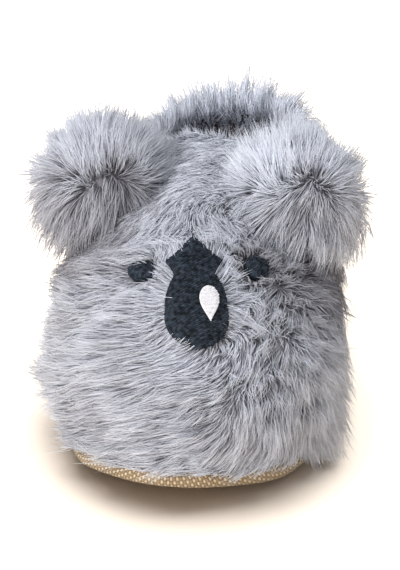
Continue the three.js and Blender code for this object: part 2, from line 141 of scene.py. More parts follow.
side_angle = math.radians(CAMERA_SIDE)
rise_angle = math.radians(CAMERA_RISE)
towards_camera = Vector(
    (
        math.sin(side_angle) * math.cos(rise_angle),
        -math.cos(side_angle) * math.cos(rise_angle),
        math.sin(rise_angle),
    )
)
camera_data = bpy.data.cameras.new("camera")
camera_data.sensor_fit = "HORIZONTAL"
camera_data.lens = camera_data.sensor_width * CAMERA_DISTANCE / FRAME_WIDTH
camera_data.clip_start = 0.01
camera = bpy.data.objects.new("camera", camera_data)
camera.location = (Vector(AIM) + towards_camera * CAMERA_DISTANCE) * MM
camera.rotation_euler = (-towards_camera).to_track_quat("-Z", "Y").to_euler()
bpy.context.scene.collection.objects.link(camera)
bpy.context.scene.camera = camera


# Outsole: a foam board covered in beige cloth of a plain weave with thick threads, pulled round
# the edge and sewn to the upper. It is flat from the heel to the ball and lifts at the toe.
SOLE_LENGTH = 132.0
BALL_WIDTH = 63.0
SOLE_THICKNESS = 5.0
SOLE_EDGE = 2.4
TOE_SPRING = 6.0
SPRING_LENGTH = 34.0
SEAM_GAP = 0.3
SOLE_ALONG = (0.025, 0.09, 0.17, 0.27, 0.4, 0.55, 0.72, 0.87, 0.96)
SOLE_INNER = (0.36, 0.74, 0.92, 1.01, 0.9, 0.77, 0.69, 0.63, 0.48)
SOLE_OUTER = (0.35, 0.71, 0.88, 0.99, 0.94, 0.86, 0.75, 0.66, 0.5)
THREAD_ACROSS = 0.8
THREAD_ALONG = 1.15
THREAD_UNDER = (0.46, 0.33, 0.195, 1)
THREAD_OVER = (0.84, 0.7, 0.47, 1)
THREAD_GAP_SHADE = (0.19, 0.125, 0.075, 1)
FULL_TURN = 2 * math.pi
TURN_STEP = 0.004


def smooth_curve(knots, values, at):
    """Smooth curve through (knots, values), level beyond its ends."""
    knots, values = np.asarray(knots), np.asarray(values)
    slopes = np.zeros(len(knots))
    slopes[1:-1] = (values[2:] - values[:-2]) / (knots[2:] - knots[:-2])
    i = np.clip(np.searchsorted(knots, at, side="right") - 1, 0, len(knots) - 2)
    span = knots[i + 1] - knots[i]
    t = np.clip((at - knots[i]) / span, 0, 1)
    rise = t * t * (3 - 2 * t)
    bend = span * t * (1 - t) * (slopes[i] * (1 - t) - slopes[i + 1] * t)
    return values[i] * (1 - rise) + values[i + 1] * rise + bend


def smooth_step(at, low, high):
    t = np.clip((at - low) / (high - low), 0, 1)
    return t * t * (3 - 2 * t)


def unit(vectors):
    lengths = np.linalg.norm(vectors, axis=-1, keepdims=True)
    return vectors / np.maximum(lengths, 1e-9)


def outline_at(turn):
    """The sole's outline. turn is 0 at the toe, 0.25 on the inner side and 0.5 at the heel."""
    angle = (turn % 1.0) * FULL_TURN
    knots = np.arccos(1 - 2 * np.array(SOLE_ALONG))
    inner = smooth_curve(knots, np.array(SOLE_INNER) / np.sin(knots), angle)
    outer = smooth_curve(knots, np.array(SOLE_OUTER) / np.sin(knots), FULL_TURN - angle)
    width = np.where(np.sin(angle) >= 0, inner, outer) * BALL_WIDTH / 2
    flat = np.zeros_like(angle)
    return np.stack([np.sin(angle) * width, -np.cos(angle) * SOLE_LENGTH / 2, flat], -1)


def outline_normal(turn):
    along = outline_at(turn + TURN_STEP) - outline_at(turn - TURN_STEP)
    return unit(np.stack([along[..., 1], -along[..., 0], 0 * along[..., 0]], -1))


def spring_at(y):
    beyond = np.maximum(0, -SOLE_LENGTH / 2 + SPRING_LENGTH - y) / SPRING_LENGTH
    return TOE_SPRING * beyond**2


def ring_faces(rows, columns):
    """Quads between rings of points, each ring closed on itself."""
    faces = []
    for row in range(rows - 1):
        for i in range(columns):
            j = (i + 1) % columns
            low, high = row * columns, (row + 1) * columns
            faces.append((low + i, low + j, high + j, high + i))
    return faces


def sole_layer(name, inset, bottom, thickness, edge, columns, steps):
    """A layer of the sole with a rounded edge. Its UV map unrolls the edge, in metres."""
    turn = np.arange(columns) / columns
    outwards = outline_normal(turn)
    rings, unrolled = [], []
    for k in range(steps + 1):
        angle = (k / steps - 0.5) * math.pi
        ring = outline_at(turn) - outwards * (inset + edge * (1 - math.cos(angle)))
        ring[:, 2] = bottom + spring_at(ring[:, 1]) + thickness / 2 * (1 + math.sin(angle))
        rings.append(ring)
        around = (k / steps) * (thickness + edge)
        unrolled.append(outline_at(turn) - outwards * (inset + edge - around))
    faces = ring_faces(steps + 1, columns)
    top = steps * columns
    for i in range(columns // 2):
        corners = list(dict.fromkeys((i, i + 1, columns - i - 1, (columns - i) % columns)))
        faces.append([top + c for c in corners])
        faces.append(corners[::-1])
    mesh = mesh_of(name, np.concatenate(rings), faces)
    flat = np.concatenate(unrolled)[:, :2] * MM
    corner_vertices = np.zeros(len(mesh.loops), int)
    mesh.loops.foreach_get("vertex_index", corner_vertices)
    mesh.uv_layers.new(name="UVMap").data.foreach_set("uv", flat[corner_vertices].ravel())
    return mesh


def maths(tree, operation, a, b=0.0):
    made = connect(tree, "ShaderNodeMath", {0: a, 1: b}, operation=operation)
    return made.outputs[0]


def mix_colours(tree, share, dark, light):
    made = connect(tree, "ShaderNodeMix", {"Factor": share}, data_type="RGBA")
    for socket, value in ((made.inputs[6], dark), (made.inputs[7], light)):
        if isinstance(value, bpy.types.NodeSocket):
            tree.links.new(value, socket)
        else:
            socket.default_value = value
    return made.outputs[2]


def noise(tree, place, scale, detail, output="Fac"):
    inputs = {"Vector": place, "Scale": scale, "Detail": detail}
    return connect(tree, "ShaderNodeTexNoise", inputs).outputs[output]


def raise_surface(tree, shader, height, strength, distance):
    """Bump on a shader, from a height that runs from 0 to 1 and a distance in metres."""
    inputs = {"Strength": strength, "Distance": distance, "Height": height}
    bump = connect(tree, "ShaderNodeBump", inputs)
    tree.links.new(bump.outputs[0], shader.inputs["Normal"])


def woven_cloth():
    """Thick threads over and under each other: light where one lies on top, with painted brown
    shade in the gaps between them.
    """
    material, tree, shader = surface_material("woven_sole_cloth", 0.85, sheen=0.15)
    uv = connect(tree, "ShaderNodeTexCoord").outputs["UV"]
    wander = noise(tree, uv, 300.0, 2.0, "Color")
    place = connect(tree, "ShaderNodeVectorMath", {0: wander, 3: 0.00035}, operation="SCALE")
    moved = connect(tree, "ShaderNodeVectorMath", {0: uv, 1: place.outputs[0]}, operation="ADD")
    split = connect(tree, "ShaderNodeSeparateXYZ", {0: moved.outputs[0]})
    across = maths(tree, "MULTIPLY", split.outputs[0], math.pi / (THREAD_ACROSS * MM))
    along = maths(tree, "MULTIPLY", split.outputs[1], math.pi / (THREAD_ALONG * MM))
    waves = maths(tree, "MULTIPLY", maths(tree, "SINE", across), maths(tree, "SINE", along))
    height = maths(tree, "POWER", maths(tree, "ABSOLUTE", waves), 0.6)
    over = maths(tree, "GREATER_THAN", waves, 0.0)
    threads = mix_colours(tree, over, THREAD_UNDER, THREAD_OVER)
    # Painted shade: the colour darkens into the gaps between the threads, where the weave is low.
    shade = maths(tree, "ADD", maths(tree, "MULTIPLY", height, 0.85), 0.1)
    colour = mix_colours(tree, shade, THREAD_GAP_SHADE, threads)
    tree.links.new(colour, shader.inputs["Base Color"])
    raised = maths(tree, "ADD", height, maths(tree, "MULTIPLY", over, 0.35))
    raise_surface(tree, shader, raised, 0.9, 0.0003)
    return material


sole_cloth = woven_cloth()
outsole = put_in_scene(
    "outsole_cloth",
    sole_layer("outsole_cloth", 0.0, 0.0, SOLE_THICKNESS, SOLE_EDGE, 240, 10),
    sole_cloth,
)
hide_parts("outsole")
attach(outsole, "root")


# Seam round the sole: a row of slanting overcast stitches in brown thread. It holds the edge of
# the sole's cloth to the upper, just under the fur.
SEAM_COUNT = 96
SEAM_STITCH = 2.6
SEAM_THREAD = 0.55
SEAM_INSET = 0.5
SEAM_DROP = 0.7
SEAM_SLANT = 0.35
SEAM_COLOUR = (0.2, 0.13, 0.08, 1)


def open_tree(name, sizes):
    """A geometry tree with a Geometry input and output and these named inputs."""
    tree = bpy.data.node_groups.new(name, "GeometryNodeTree")
    sides = tree.interface
    sides.new_socket("Geometry", in_out="INPUT", socket_type="NodeSocketGeometry")
    sides.new_socket("Geometry", in_out="OUTPUT", socket_type="NodeSocketGeometry")
    for label, kind in sizes:
        sides.new_socket(label, in_out="INPUT", socket_type=kind)
    start = connect(tree, "NodeGroupInput")
    end = connect(tree, "NodeGroupOutput")
    return tree, start, end


def grow(name, base, tree, values, material):
    """Runs a geometry tree on a mesh and returns what it makes as a plain mesh object."""
    host = put_in_scene(name + "_base", base, material)
    modifier = host.modifiers.new("grow", "NODES")
    modifier.node_group = tree
    for item in tree.interface.items_tree:
        if item.in_out == "INPUT" and item.name in values:
            modifier[item.identifier] = values[item.name]
    evaluated = host.evaluated_get(bpy.context.evaluated_depsgraph_get())
    mesh = bpy.data.meshes.new_from_object(evaluated)
    mesh.name = name
    bpy.data.objects.remove(host)
    return put_in_scene(name, mesh, material)


def dress(tree, geometry, material, end):
    """Ends a tree: gives the geometry its material and sends it out."""
    dressed = connect(tree, "GeometryNodeSetMaterial", {0: geometry, "Material": material})
    tree.links.new(dressed.outputs[0], end.inputs[0])


def named(tree, label, kind="FLOAT_VECTOR"):
    made = connect(tree, "GeometryNodeInputNamedAttribute", {"Name": label}, data_type=kind)
    return made.outputs[0]


def add_field(mesh, label, values):
    """Gives each point of a mesh its own number or vector, under a name."""
    values = np.asarray(values, np.float32)
    kind, part = ("FLOAT_VECTOR", "vector") if values.ndim > 1 else ("FLOAT", "value")
    mesh.attributes.new(label, kind, "POINT").data.foreach_set(part, values.ravel())


def stitch_tree():
    """Lays one round-ended stitch on each point, along its run and as long as its length."""
    sizes = (("Thread", "NodeSocketFloat"), ("Material", "NodeSocketMaterial"))
    tree, start, end = open_tree("stitches", sizes)
    thread = start.outputs["Thread"]
    shape = connect(tree, "GeometryNodeMeshUVSphere", {"Segments": 6, "Rings": 5, "Radius": 0.5})
    turned = connect(
        tree, "FunctionNodeAlignRotationToVector", {"Vector": named(tree, "run")}, axis="X"
    )
    size = connect(
        tree, "ShaderNodeCombineXYZ", {0: named(tree, "length", "FLOAT"), 1: thread, 2: thread}
    )
    laid = connect(
        tree,
        "GeometryNodeInstanceOnPoints",
        {
            "Points": start.outputs["Geometry"],
            "Instance": shape.outputs["Mesh"],
            "Rotation": turned.outputs[0],
            "Scale": size.outputs[0],
        },
    )
    real = connect(tree, "GeometryNodeRealizeInstances", {0: laid.outputs[0]})
    dress(tree, real.outputs[0], start.outputs["Material"], end)
    return tree


def stitches(name, places, runs, lengths, thread, material):
    """Stitches at these places, in millimetres, each along its own run."""
    base = mesh_of(name + "_places", places, [])
    add_field(base, "run", unit(runs))
    add_field(base, "length", np.asarray(lengths) * MM)
    return grow(name, base, STITCHES, {"Thread": thread * MM, "Material": material}, material)


def thread_material(name, colour, roughness, sheen, tones=(0.6, 1.35)):
    """Twisted thread: fine slanting strands along it, a little uneven in colour."""
    material, tree, shader = surface_material(name, roughness, sheen)
    place = connect(tree, "ShaderNodeTexCoord").outputs["Object"]
    twist = connect(
        tree,
        "ShaderNodeTexWave",
        {"Vector": place, "Scale": 900.0, "Distortion": 3.0, "Detail": 1.0},
        bands_direction="DIAGONAL",
    )
    uneven = noise(tree, place, 1000.0, 2.0)
    darker = tuple(tones[0] * c for c in colour[:3]) + (1,)
    lighter = tuple(min(1.0, tones[1] * c) for c in colour[:3]) + (1,)
    flecks = connect(
        tree, "ShaderNodeMapRange", {"Value": uneven, "From Min": 0.35, "From Max": 0.7}
    )
    tone = mix_colours(tree, flecks.outputs[0], darker, lighter)
    tree.links.new(tone, shader.inputs["Base Color"])
    raise_surface(tree, shader, twist.outputs["Fac"], 0.5, 0.00008)
    return material


STITCHES = stitch_tree()
seam_turn = (np.arange(SEAM_COUNT) + 0.5) / SEAM_COUNT
seam_place = outline_at(seam_turn) - outline_normal(seam_turn) * SEAM_INSET
seam_place[:, 2] = SOLE_THICKNESS - SEAM_DROP + spring_at(seam_place[:, 1])
seam_run = outline_at(seam_turn + TURN_STEP) - outline_at(seam_turn - TURN_STEP)
seam_run[:, 2] += SEAM_SLANT * np.linalg.norm(seam_run, axis=1)
seam = stitches(
    "sole_seam_stitches",
    seam_place,
    seam_run,
    np.full(SEAM_COUNT, SEAM_STITCH),
    SEAM_THREAD,
    thread_material("seam_thread", SEAM_COLOUR, 0.7, 0.1),
)
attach(seam, "root")


# Footbed: a soft foam insole covered in short taupe plush. It lies loose on the outsole, inside
# the upper's wall.
WALL = 4.0
FOOT_INSET = 0.8
INSOLE_GAP = 0.5
INSOLE_THICKNESS = 3.0
INSOLE_EDGE = 1.0
PLUSH_DARK = (0.1, 0.078, 0.082, 1)
PLUSH_LIGHT = (0.4, 0.33, 0.34, 1)


def plush_material():
    """Short plush, rosy taupe, with the mottling of pile that is pressed here and there."""
    material, tree, shader = surface_material("taupe_plush", 0.95, sheen=0.5)
    place = connect(tree, "ShaderNodeTexCoord").outputs["Object"]
    tufts = noise(tree, place, 1500.0, 3.0)
    mixed = maths(tree, "MULTIPLY", noise(tree, place, 160.0, 4.0), tufts)
    colour = mix_colours(tree, maths(tree, "MULTIPLY", mixed, 2.2), PLUSH_DARK, PLUSH_LIGHT)
    tree.links.new(colour, shader.inputs["Base Color"])
    raise_surface(tree, shader, tufts, 0.9, 0.0004)
    return material


plush = plush_material()
insole = put_in_scene(
    "insole_pad",
    sole_layer(
        "insole_pad",
        FOOT_INSET + WALL + INSOLE_GAP,
        SOLE_THICKNESS + SEAM_GAP,
        INSOLE_THICKNESS,
        INSOLE_EDGE,
        160,
        6,
    ),
    plush,
)
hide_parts("insole")
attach(insole, "root")


# Upper: backing cloth outside and plush lining inside, with a rolled edge at the collar. It is
# sewn down round the sole, rises over the toes to the throat, and dips at the ankle.
THROAT_HEIGHT = 65.0
SIDE_HEIGHT = 54.0
HEEL_HEIGHT = 56.0
COLLAR_LENGTH = 52.0
COLLAR_WIDTH = 43.0
COLLAR_SETBACK = 10.0
SIDE_BULGE = 3.8
TOE_BULGE = 1.0
HEEL_BULGE = 2.0
TOE_FULLNESS = 2.05
SIDE_FULLNESS = 2.4
HEEL_FULLNESS = 2.4
COLLAR_MIDDLE = SOLE_LENGTH / 2 - COLLAR_SETBACK - COLLAR_LENGTH / 2
RIM_ROLL = 0.8
BACKING_INSET = 0.15
RIB_STEPS = 32
SKIN_COLUMNS = 160
SKIN_ROWS = 48
LINING_ROWS = 18
FIRST_PLUSH_ROW = SKIN_ROWS + 5
BACKING_DARK = (0.2, 0.19, 0.22, 1)
BACKING_LIGHT = (0.42, 0.41, 0.46, 1)
LINING_DARK = (0.1, 0.075, 0.078, 1)
LINING_LIGHT = (0.4, 0.32, 0.325, 1)


def toe_share(turn):
    return np.maximum(0, np.cos(turn * FULL_TURN)) ** 2


def heel_share(turn):
    return np.maximum(0, -np.cos(turn * FULL_TURN)) ** 2


def blend_round(turn, toe, side, heel):
    return side + (toe - side) * toe_share(turn) + (heel - side) * heel_share(turn)


def rib_point(turn, rise, depth=0.0):
    """One rib of the upper, from the sole's edge to the collar: a quarter arch that bulges."""
    outwards = outline_normal(turn)
    foot = outline_at(turn) - outwards * (FOOT_INSET + depth)
    foot[..., 2] = SOLE_THICKNESS + spring_at(foot[..., 1]) + SEAM_GAP
    angle = (turn % 1.0) * FULL_TURN
    rim = np.stack(
        [
            np.sin(angle) * COLLAR_WIDTH / 2,
            COLLAR_MIDDLE - np.cos(angle) * COLLAR_LENGTH / 2,
            blend_round(turn, THROAT_HEIGHT, SIDE_HEIGHT, HEEL_HEIGHT) - depth,
        ],
        -1,
    )
    power = 2 / blend_round(turn, TOE_FULLNESS, SIDE_FULLNESS, HEEL_FULLNESS)
    arch = rise * math.pi / 2
    across = 1 - np.maximum(0, np.cos(arch)) ** power
    upwards = np.sin(arch) ** power
    bulge = blend_round(turn, TOE_BULGE, SIDE_BULGE, HEEL_BULGE) * np.sin(math.pi * rise**0.75)
    point = foot + (rim - foot) * np.stack([across, across, upwards], -1)
    return point + outwards * bulge[..., None]


def upper_point(turn, share, depth=0.0):
    """share runs evenly along the rib's length, from the sole to the collar."""
    turn, share = np.broadcast_arrays(np.asarray(turn, float), np.asarray(share, float))
    steps = np.linspace(0, 1, RIB_STEPS + 1)
    rib = rib_point(turn[..., None], np.broadcast_to(steps, turn.shape + steps.shape), depth)
    pieces = np.linalg.norm(np.diff(rib, axis=-2), axis=-1)
    lengths = np.concatenate([0 * pieces[..., :1], np.cumsum(pieces, -1)], -1)
    wanted = (np.clip(share, 0, 1) * lengths[..., -1])[..., None]
    k = np.clip((lengths < wanted).sum(-1, keepdims=True), 1, RIB_STEPS)
    before = np.take_along_axis(lengths, k - 1, -1)
    after = np.take_along_axis(lengths, k, -1)
    rise = (k - 1 + (wanted - before) / (after - before)) / RIB_STEPS
    return rib_point(turn, rise[..., 0], depth)


def upper_frame(turn, share):
    """Points of the upper's outer face, with the normal and the ways round and down it."""
    turn, share = np.broadcast_arrays(np.asarray(turn, float), np.asarray(share, float))
    point = upper_point(turn, share)
    round_ = unit(upper_point(turn + TURN_STEP, share) - upper_point(turn - TURN_STEP, share))
    below = upper_point(turn, np.maximum(0, share - TURN_STEP))
    above = upper_point(turn, np.minimum(1, share + TURN_STEP))
    down = unit(below - above)
    return point, unit(np.cross(down, round_)), down, round_


skin_turn, skin_share = np.meshgrid(
    np.arange(SKIN_COLUMNS) / SKIN_COLUMNS, np.linspace(0, 1, SKIN_ROWS)
)
skin_point, skin_normal, skin_down, skin_round = upper_frame(skin_turn, skin_share)


def upper_cloth_mesh():
    """Outer face, a rolled edge at the collar, and the lining down to the sole."""
    turn = np.arange(SKIN_COLUMNS) / SKIN_COLUMNS
    rows = list(skin_point - skin_normal * BACKING_INSET)
    outer_rim, inner_rim = upper_point(turn, 1.0), upper_point(turn, 1.0, WALL)
    inwards = unit(np.stack([-outer_rim[:, 0], COLLAR_MIDDLE - outer_rim[:, 1], 0 * turn], -1))
    for step in (0.25, 0.5, 0.75):
        roll = math.sin(step * math.pi) * RIM_ROLL
        rows.append(outer_rim * (1 - step) + inner_rim * step + inwards * roll)
    lining_share = np.linspace(1, 0, LINING_ROWS)
    rows += [upper_point(turn, share, WALL) for share in lining_share]
    faces = ring_faces(len(rows), SKIN_COLUMNS)
    last = (len(rows) - 1) * SKIN_COLUMNS
    for i in range(SKIN_COLUMNS):
        j = (i + 1) % SKIN_COLUMNS
        faces.append((last + i, last + j, j, i))
    mesh = mesh_of("upper_cloth", np.concatenate(rows), faces)
    inside = np.zeros(len(rows) * SKIN_COLUMNS)
    inside[FIRST_PLUSH_ROW * SKIN_COLUMNS :] = 1.0
    add_field(mesh, "inside", inside)
    return mesh


def backing_material():
    """Knitted backing with dense grey underfur outside, and rosy plush inside."""
    material, tree, shader = surface_material("backing_and_lining", 0.95, sheen=0.3)
    place = connect(tree, "ShaderNodeTexCoord").outputs["Object"]
    underfur = noise(tree, place, 1400.0, 4.0)
    mixed = maths(tree, "MULTIPLY", underfur, noise(tree, place, 160.0, 3.0))
    share = maths(tree, "MULTIPLY", mixed, 2.2)
    outside = mix_colours(tree, share, BACKING_DARK, BACKING_LIGHT)
    lining = mix_colours(tree, share, LINING_DARK, LINING_LIGHT)
    is_inside = connect(tree, "ShaderNodeAttribute", attribute_name="inside").outputs["Fac"]
    tree.links.new(mix_colours(tree, is_inside, outside, lining), shader.inputs["Base Color"])
    raise_surface(tree, shader, underfur, 0.9, 0.0004)
    return material


upper_cloth = put_in_scene("upper_cloth", upper_cloth_mesh(), backing_material())
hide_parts("upper")
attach(upper_cloth, "root")


# Nose: a padded shape with three points at the top, filled with rows of black embroidery thread
# and sewn on the vamp. It sits a little to the inner side and leans a little.
NOSE_SHARE = 0.405
FACE_SHIFT = 4.0
FACE_TILT = 5.0
NOSE_WIDTH = 14.2
NOSE_HEIGHT = 27.0
NOSE_THICKNESS = 3.2
NOSE_RIM = 1.7
ROW_PITCH = 0.42
BLACK = (0.018, 0.024, 0.033, 1)
UPPER_GIRTH = 300.0
RIB_LENGTH = 75.0
NOSE_HALF = (
    (0.0, 0.635, "sharp"),
    (0.25, 0.565),
    (0.46, 0.495),
    (0.88, 0.4, "sharp"),
    (0.66, 0.272),
    (0.8, 0.178),
    (0.94, 0.06),
    (0.98, -0.07),
    (0.98, -0.17),
    (0.84, -0.262),
    (0.53, -0.345),
    (0.0, -0.392),
)

face_point, face_normal, _, face_round = (
    v[0] for v in upper_frame([FACE_SHIFT / BALL_WIDTH / math.pi], [NOSE_SHARE])
)
tilt = math.radians(FACE_TILT)
face_across = unit(
    face_round * math.cos(tilt) + np.cross(face_normal, face_round) * math.sin(tilt)
)
face_rise = unit(np.cross(face_normal, face_across))


def face_place(a, b):
    """The place on the upper that lies at (a, b) in the face's own frame. It is guessed from the
    upper's rough girth and rib length, and then found in a few Newton steps."""
    a, b = np.asarray(a, float), np.asarray(b, float)
    step = 0.002
    turn, share = (a + FACE_SHIFT) / UPPER_GIRTH, NOSE_SHARE + b / RIB_LENGTH

    def flat(t, s):
        away = upper_point(t, s) - face_point
        return away @ face_across, away @ face_rise

    for _ in range(8):
        here = flat(turn, share)
        turn_a, turn_b = ((v - h) / step for v, h in zip(flat(turn + step, share), here))
        share_a, share_b = ((v - h) / step for v, h in zip(flat(turn, share + step), here))
        scale = turn_a * share_b - turn_b * share_a
        miss_a, miss_b = a - here[0], b - here[1]
        turn = turn + (miss_a * share_b - miss_b * share_a) / scale
        share = share + (turn_a * miss_b - turn_b * miss_a) / scale
    return upper_frame(turn, share)


def rounded(corners, pieces):
    """Closed curve through these corners, which stays sharp at those listed as sharp."""
    points = np.array([c[:2] for c in corners], float)
    sharp = [len(c) > 2 for c in corners]
    count = len(points)
    curve = []
    for i in range(count):
        p0, p1, p2, p3 = (points[(i + k) % count] for k in (-1, 0, 1, 2))
        start = (p2 - p0) / 2 * (0 if sharp[i] else 1)
        finish = (p3 - p1) / 2 * (0 if sharp[(i + 1) % count] else 1)
        for k in range(pieces):
            t = k / pieces
            rise = t * t * (3 - 2 * t)
            bend = t * (1 - t) * (start * (1 - t) - finish * t)
            curve.append(p1 * (1 - rise) + p2 * rise + bend)
    return np.array(curve)


def nose_outline():
    """From the tip down the left side and up the right. The tip and two corners are sharp."""
    half = [
        (across * NOSE_WIDTH / 2, rise * NOSE_HEIGHT, *sharp) for across, rise, *sharp in NOSE_HALF
    ]
    left = [(-p[0],) + p[1:] for p in half[1:-1]]
    return rounded([half[0], *left, half[-1], *half[1:-1][::-1]], 4)


def reach_of(outline, middle, a, b):
    """How far out (a, b) lies, as a share of the outline's own reach that way."""
    around = outline - middle
    order = np.argsort(np.arctan2(around[:, 1], around[:, 0]))
    angles = np.arctan2(around[order, 1], around[order, 0])
    reaches = np.hypot(around[order, 0], around[order, 1])
    edge = np.interp(np.arctan2(b - middle[1], a - middle[0]), angles, reaches, period=FULL_TURN)
    return np.hypot(a - middle[0], b - middle[1]) / edge


def dome(share, base, rim, thickness):
    return base + rim + (thickness - rim) * np.maximum(0, 1 - share**3) ** 0.6


def closed_rings(name, points):
    """A closed mesh of rings, capped at both ends."""
    rows, columns = points.shape[:2]
    faces = ring_faces(rows, columns)
    last = (rows - 1) * columns
    faces.append(list(range(columns))[::-1])
    faces.append([last + i for i in range(columns)])
    return mesh_of(name, points, faces)


def pad_mesh(name, outline, middle, base, rim, thickness):
    """A closed pad on the upper: flat below, an upright rim, and a domed top."""
    lifts = [(share, base) for share in (0.05, 0.4, 0.75, 1.0)]
    lifts += [(1.0, base + rim * 0.6)]
    lifts += [(s, dome(s, base, rim, thickness)) for s in (0.99, 0.93, 0.8, 0.6, 0.35, 0.05)]
    rows = []
    for share, lift in lifts:
        a, b = (middle + (outline - middle) * share).T
        point, normal, _, _ = face_place(a, b)
        rows.append(point + normal * lift)
    return closed_rings(name, np.array(rows))


def embroidery(name, outline, middle, lift_at, pitch, stitch, thread, material, slant=0.0):
    """Fills an outline with rows of stitches that follow the pad, staggered like bricks."""
    turned = np.array([[math.cos(slant), math.sin(slant)], [-math.sin(slant), math.cos(slant)]])
    edge = (outline - middle) @ turned.T
    following = np.roll(edge, -1, axis=0)
    spots, lengths = [], []
    low, high = edge[:, 1].min() + 0.15, edge[:, 1].max() - 0.1
    for row, level in enumerate(np.arange(low, high, pitch)):
        crosses = (edge[:, 1] > level) != (following[:, 1] > level)
        part = (level - edge[crosses, 1]) / (following[crosses, 1] - edge[crosses, 1])
        ends = np.sort(edge[crosses, 0] + part * (following[crosses, 0] - edge[crosses, 0]))
        for left, right in zip(ends[::2], ends[1::2]):
            cuts = np.arange(left - stitch * (0.37 * row % 1.0), right, stitch)
            cuts = np.unique(np.concatenate([[left], cuts[cuts > left + 0.3], [right]]))
            for start, finish in zip(cuts[:-1], cuts[1:]):
                spots.append(((start + finish) / 2, level))
                lengths.append(finish - start + 0.15)
    flat = np.array(spots) @ turned + middle
    lengths = np.array(lengths)

    def top(offset):
        a, b = (flat + offset[:, None] * turned[0]).T
        point, normal, _, _ = face_place(a, b)
        return point + normal * lift_at(a, b)[:, None]

    start, finish = top(-lengths / 2.4), top(lengths / 2.4)
    return stitches(name, (start + finish) / 2, finish - start, lengths, thread, material)


black_cloth = thread_material("black_thread", BLACK, 0.75, 0.0, (0.5, 2.8))
black_cloth.node_tree.nodes["Principled BSDF"].inputs["Specular IOR Level"].default_value = 0.12
nose_edge = nose_outline()
nose_middle = np.zeros(2)
nose_pad = put_in_scene(
    "nose_pad",
    pad_mesh("nose_pad", nose_edge, nose_middle, SEAM_GAP, NOSE_RIM, NOSE_THICKNESS - 0.15),
    black_cloth,
)
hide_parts("nose")
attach(nose_pad, "root")


def nose_top(a, b):
    share = reach_of(nose_edge, nose_middle, a, b)
    return dome(np.minimum(share, 1), SEAM_GAP, NOSE_RIM, NOSE_THICKNESS)


nose_stitches = embroidery(
    "nose_embroidery",
    nose_edge,
    nose_middle,
    nose_top,
    pitch=ROW_PITCH,
    stitch=2.7,
    thread=0.5,
    material=black_cloth,
    slant=0.35,
)
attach(nose_stitches, "root")


# Highlight: a white drop on the nose, round above and pointed below. It is filled with shiny
# satin stitch over a thin pad and sewn through the nose's top.
HIGHLIGHT_LENGTH = 8.1
HIGHLIGHT_WIDTH = 4.1
HIGHLIGHT_BASE = NOSE_THICKNESS + 0.35
HIGHLIGHT_RIM = 0.25
HIGHLIGHT_PAD = 0.45
HIGHLIGHT_STITCHES = 0.49
WHITE = (0.86, 0.86, 0.9, 1)

highlight_middle = np.array([NOSE_WIDTH * 0.18, 0.5])
drop_angle = np.arange(28) / 28 * FULL_TURN
narrowing = np.where(np.sin(drop_angle) < 0, 1 - 0.9 * np.sin(drop_angle) ** 2, 1)
drop_rise = np.where(np.sin(drop_angle) < 0, 0.64, 0.36) * np.sin(drop_angle) * HIGHLIGHT_LENGTH
highlight_edge = highlight_middle + np.stack(
    [np.cos(drop_angle) * HIGHLIGHT_WIDTH / 2 * narrowing, drop_rise], -1
)
white_thread = thread_material("white_satin_thread", WHITE, 0.35, 0.3, (0.92, 1.05))
highlight_pad = put_in_scene(
    "highlight_pad",
    pad_mesh(
        "highlight_pad",
        highlight_edge,
        highlight_middle,
        HIGHLIGHT_BASE,
        HIGHLIGHT_RIM,
        HIGHLIGHT_PAD,
    ),
    white_thread,
)
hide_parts("nose_highlight")
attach(highlight_pad, "root")
highlight_stitches = embroidery(
    "highlight_satin",
    highlight_edge,
    highlight_middle,
    lambda a, b: np.full(len(a), HIGHLIGHT_BASE + HIGHLIGHT_STITCHES),
    pitch=0.3,
    stitch=5.0,
    thread=0.38,
    material=white_thread,
    slant=0.5,
)
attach(highlight_stitches, "root")


# Eyes: two small padded discs filled with rows of the nose's black thread. They are sewn on the
# vamp beside the nose's top and are half sunk in the fur.
EYE_WIDTH = 5.6
EYE_HEIGHT = 5.6
EYE_THICKNESS = 2.4
EYE_SPACING = 26.2
EYE_RISE = 9.8
EYE_SHIFT = 1.3
SIDES = ((1, "inner"), (-1, "outer"))

eye_angle = np.arange(32) / 32 * FULL_TURN
eye_edges = []
for side, label in SIDES:
    eye_middle = np.array([side * EYE_SPACING / 2 + EYE_SHIFT, EYE_RISE])
    eye_edge = eye_middle + np.stack(
        [np.cos(eye_angle) * EYE_WIDTH / 2, np.sin(eye_angle) * EYE_HEIGHT / 2], -1
    )
    eye_edges.append((eye_edge, eye_middle))
    eye_pad = put_in_scene(
        f"eye_pad_{label}",
        pad_mesh(
            f"eye_pad_{label}", eye_edge, eye_middle, SEAM_GAP, EYE_THICKNESS / 2, EYE_THICKNESS
        ),
        black_cloth,
    )
    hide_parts(f"eye_{label}_side")
    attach(eye_pad, "root")

    def eye_top(a, b, edge=eye_edge, middle=eye_middle):
        share = np.minimum(reach_of(edge, middle, a, b), 1)
        return dome(share, SEAM_GAP, EYE_THICKNESS / 2, EYE_THICKNESS + 0.1)

    eye_stitches = embroidery(
        f"eye_embroidery_{label}",
        eye_edge,
        eye_middle,
        eye_top,
        pitch=0.4,
        stitch=2.4,
        thread=0.48,
        material=black_cloth,
        slant=0.8,
    )
    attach(eye_stitches, "root")


# Ears: stuffed rounds of fur fabric, sewn on beside the throat and facing forwards. These are
# their stuffed cores, which the long fur hides.
EAR_RADIUS = 12.0
EAR_DEPTH = 8.5
EAR_COLUMNS = 32
EAR_ROWS = 18
EAR_PLACES = {
    1: ((23.0, -14.5, 59.5), (0.3, -0.8, 0.6)),
    -1: ((-24.3, -14.5, 60.2), (0.05, -0.9, 0.4)),
}


